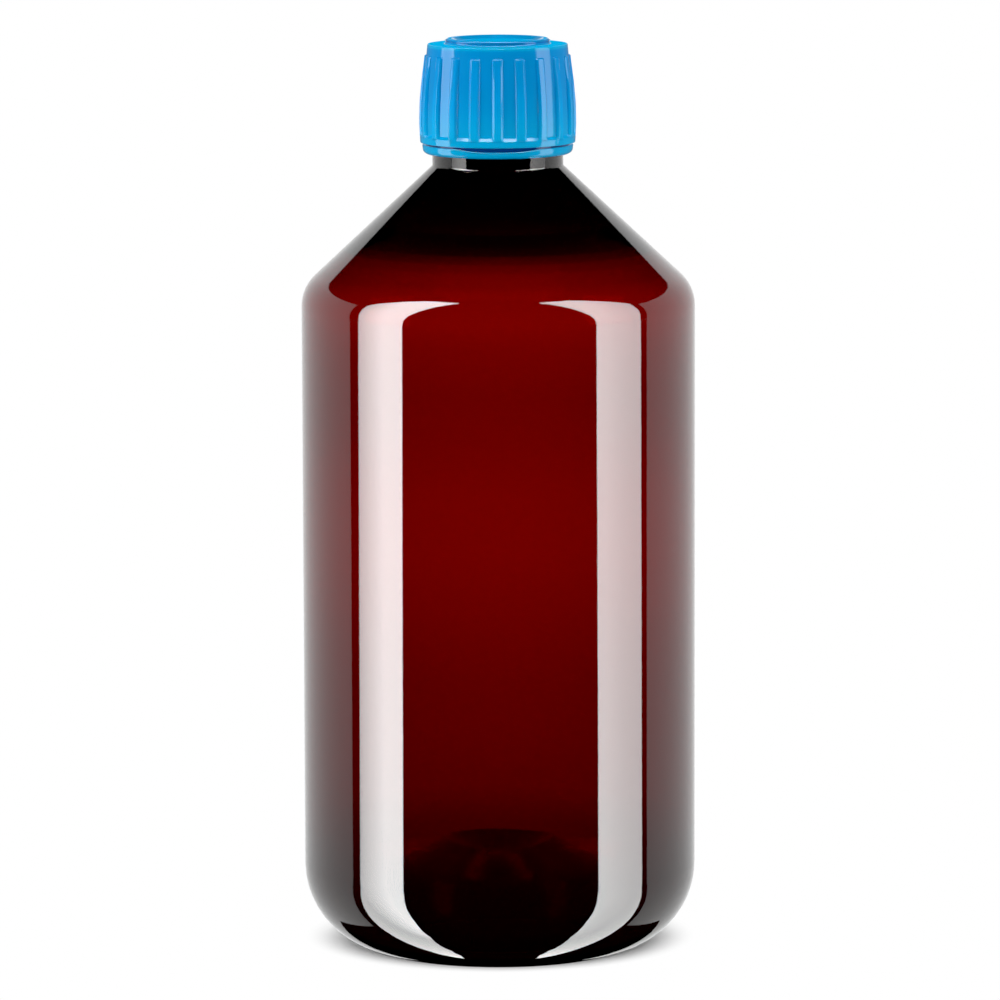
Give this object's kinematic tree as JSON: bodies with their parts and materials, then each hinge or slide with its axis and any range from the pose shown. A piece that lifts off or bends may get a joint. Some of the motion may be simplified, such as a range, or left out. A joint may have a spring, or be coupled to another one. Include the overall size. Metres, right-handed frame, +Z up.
{
  "type": "amber plastic bottle",
  "caption": "Round amber plastic bottle with a conical shoulder, push-up base and ribbed blue screw cap over a tamper-evident band",
  "frame": {"origin": "centre of the foot ring, on the bottle's axis, in the plane that it stands on", "axes": "+Z up along the bottle's axis, +X towards one of the cap's ribs"},
  "size_m": [0.0914, 0.0914, 0.213],
  "materials": {
    "amber_plastic": "glossy translucent amber PET",
    "blue_plastic": "glossy moulded polypropylene",
    "liner_foam": "matt foamed polyethylene"
  },
  "bodies": {
    "bottle": {"bottle": "amber_plastic", "tamper_band": "blue_plastic"},
    "liner": {"liner_disc": "liner_foam"},
    "cap": {"screw_cap": "blue_plastic"}
  },
  "joints": [
    {"name": "cap_lift", "type": "slide", "parent": "bottle", "child": "liner", "axis": [0, 0, 1], "range_m": [0, 0.032]},
    {"name": "cap_turn", "type": "hinge", "parent": "liner", "child": "cap", "pos_m": [0, 0, 0.2], "axis": [0, 0, 1], "range_deg": [0, 2880]}
  ],
  "couplings": [
    {"joint": "cap_lift", "follows": "cap_turn", "m_per_rad": 0.00063662}
  ]
}
